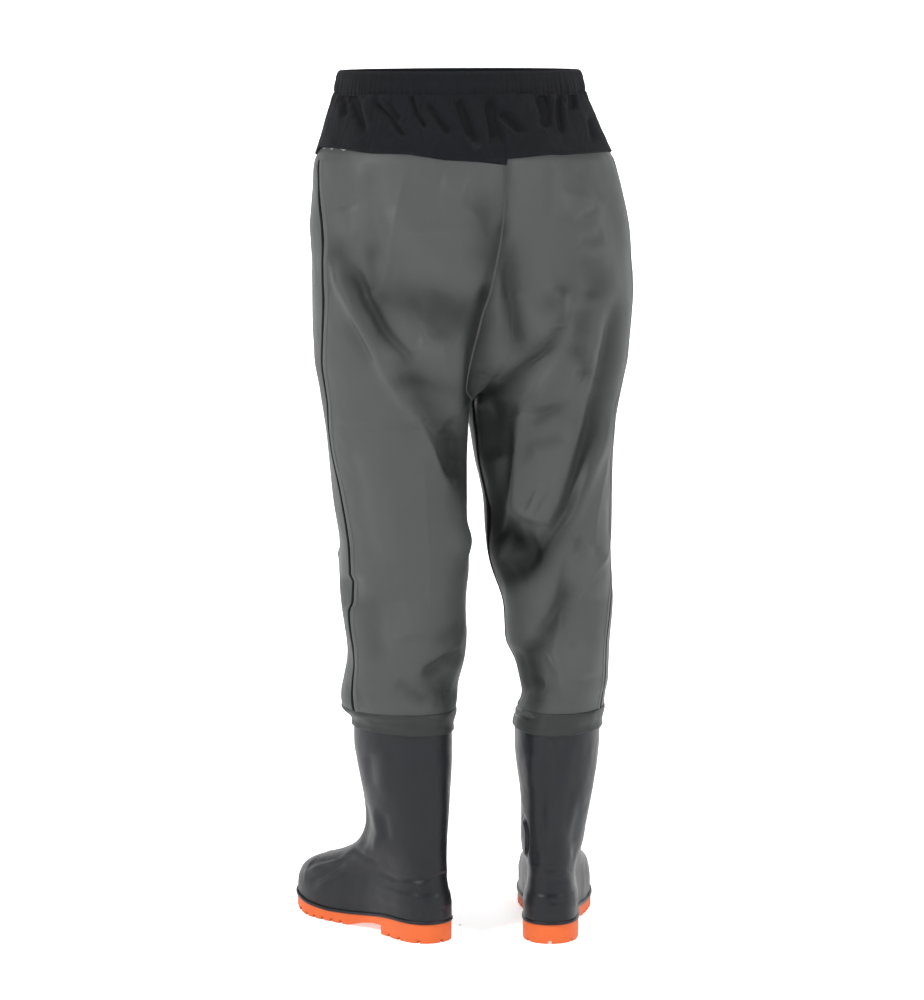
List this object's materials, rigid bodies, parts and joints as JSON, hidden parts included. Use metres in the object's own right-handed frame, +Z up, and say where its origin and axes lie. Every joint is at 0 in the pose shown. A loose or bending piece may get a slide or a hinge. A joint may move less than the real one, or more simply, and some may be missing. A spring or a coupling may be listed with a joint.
{
  "type": "waist waders",
  "caption": "Waist-high fishing waders with a gathered elastic yoke, coated fabric legs and moulded boots on heeled soles.",
  "frame": {"origin": "on the floor, under the middle of the garment's outline, between the two boots", "axes": "+Z up towards the waist opening, the garment's front faces -Y, the wearer's left is +X"},
  "size_m": [0.4412, 0.4024, 1.15],
  "materials": {
    "yoke_cloth": "matt woven polyester",
    "elastic": "woven elastic",
    "inner_tape": "smooth sealing tape",
    "leg_fabric": "satin PVC coating on knitted backing",
    "seam_tape": "satin PVC",
    "boot_pvc": "satin moulded PVC",
    "lining": "knitted nylon",
    "insole": "felt",
    "outsole": "matt moulded PVC"
  },
  "bodies": {
    "waist": {"waist_casing": "yoke_cloth", "waist_elastic": "elastic", "yoke_front": "yoke_cloth", "yoke_back": "yoke_cloth", "yoke_side_seams": "yoke_cloth", "waist_seam_tape": "inner_tape", "centre_seam": "seam_tape", "left_seat_back": "leg_fabric", "right_seat_back": "leg_fabric", "left_front_top": "leg_fabric", "right_front_top": "leg_fabric", "left_front_hip": "leg_fabric", "left_back_hip": "leg_fabric", "right_front_hip": "leg_fabric", "right_back_hip": "leg_fabric", "hip_outseams": "seam_tape"},
    "left_thigh": {"left_thigh_front": "leg_fabric", "left_thigh_back": "leg_fabric", "left_thigh_outseam": "seam_tape", "left_thigh_inseam": "seam_tape", "left_knee_pit": "leg_fabric"},
    "right_thigh": {"right_thigh_front": "leg_fabric", "right_thigh_back": "leg_fabric", "right_thigh_outseam": "seam_tape", "right_thigh_inseam": "seam_tape", "right_knee_pit": "leg_fabric"},
    "left_calf": {"left_calf_front": "leg_fabric", "left_calf_back": "leg_fabric", "left_calf_outseam": "seam_tape", "left_calf_inseam": "seam_tape", "left_hem": "leg_fabric"},
    "right_calf": {"right_calf_front": "leg_fabric", "right_calf_back": "leg_fabric", "right_calf_outseam": "seam_tape", "right_calf_inseam": "seam_tape", "right_hem": "leg_fabric"},
    "left_boot": {"left_cuff": "leg_fabric", "left_boot_upper": "boot_pvc", "left_boot_lining": "lining", "left_insole": "insole", "left_outsole": "outsole", "left_foxing": "boot_pvc"},
    "right_boot": {"right_cuff": "leg_fabric", "right_boot_upper": "boot_pvc", "right_boot_lining": "lining", "right_insole": "insole", "right_outsole": "outsole", "right_foxing": "boot_pvc"}
  },
  "joints": [
    {"name": "left_hip", "type": "hinge", "parent": "waist", "child": "left_thigh", "pos_m": [0.1023, 0.047, 0.86], "axis": [-1, 0, 0], "range_deg": [-15, 60], "deforming": ["left_front_hip", "left_back_hip"]},
    {"name": "left_knee", "type": "hinge", "parent": "left_thigh", "child": "left_calf", "pos_m": [0.0888, 0.04, 0.48], "axis": [1, 0, 0], "range_deg": [0, 90], "deforming": ["left_knee_pit"]},
    {"name": "left_boot_fold", "type": "hinge", "parent": "left_calf", "child": "left_boot", "pos_m": [0.0878, 0.007, 0.335], "axis": [-1, 0, 0], "range_deg": [-35, 40], "deforming": ["left_hem"]},
    {"name": "right_hip", "type": "hinge", "parent": "waist", "child": "right_thigh", "pos_m": [-0.0977, 0.047, 0.86], "axis": [-1, 0, 0], "range_deg": [-15, 60], "deforming": ["right_front_hip", "right_back_hip"]},
    {"name": "right_knee", "type": "hinge", "parent": "right_thigh", "child": "right_calf", "pos_m": [-0.1057, 0.0835, 0.48], "axis": [1, 0, 0], "range_deg": [0, 90], "deforming": ["right_knee_pit"]},
    {"name": "right_boot_fold", "type": "hinge", "parent": "right_calf", "child": "right_boot", "pos_m": [-0.1165, 0.077, 0.335], "axis": [-1, 0, 0], "range_deg": [-35, 40], "deforming": ["right_hem"]}
  ]
}
